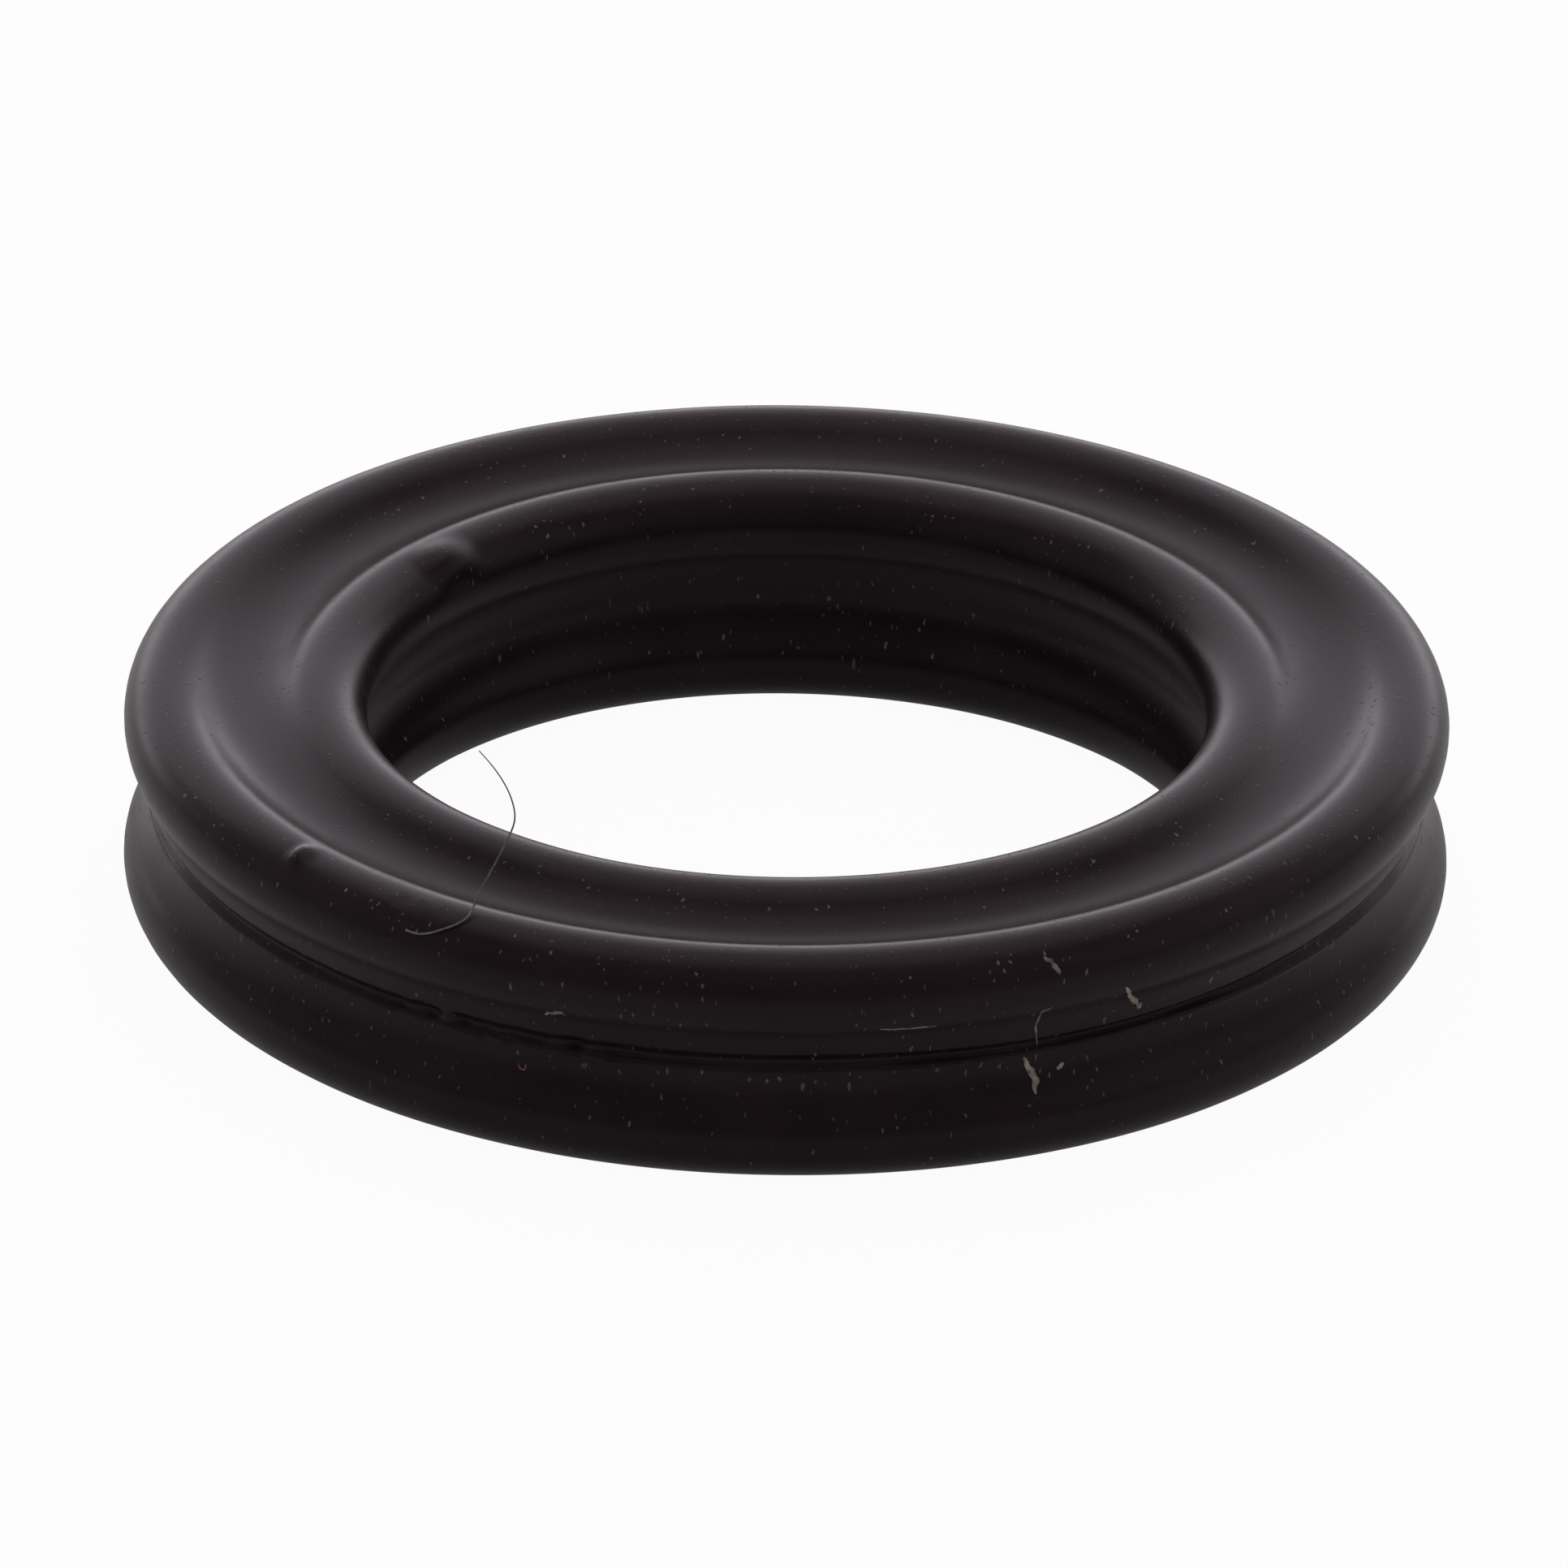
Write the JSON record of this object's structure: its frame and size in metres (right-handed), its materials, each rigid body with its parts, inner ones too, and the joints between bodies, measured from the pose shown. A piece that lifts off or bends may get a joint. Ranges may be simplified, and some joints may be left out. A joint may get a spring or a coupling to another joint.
{
  "type": "quad ring seal",
  "caption": "Round black rubber seal ring whose square section has a round lobe at each corner and a hollow trough along each side.",
  "frame": {"origin": "centre of the ring, halfway up it, on the mould's parting plane", "axes": "+Z along the ring's axis, out through the face that carries the gate mark; +X and +Y are radial"},
  "size_m": [0.029, 0.029, 0.0054],
  "materials": {
    "seal_rubber": "smooth moulded black rubber, satin, with light dust"
  },
  "bodies": {
    "root": {"seal_ring": "seal_rubber"}
  },
  "joints": []
}
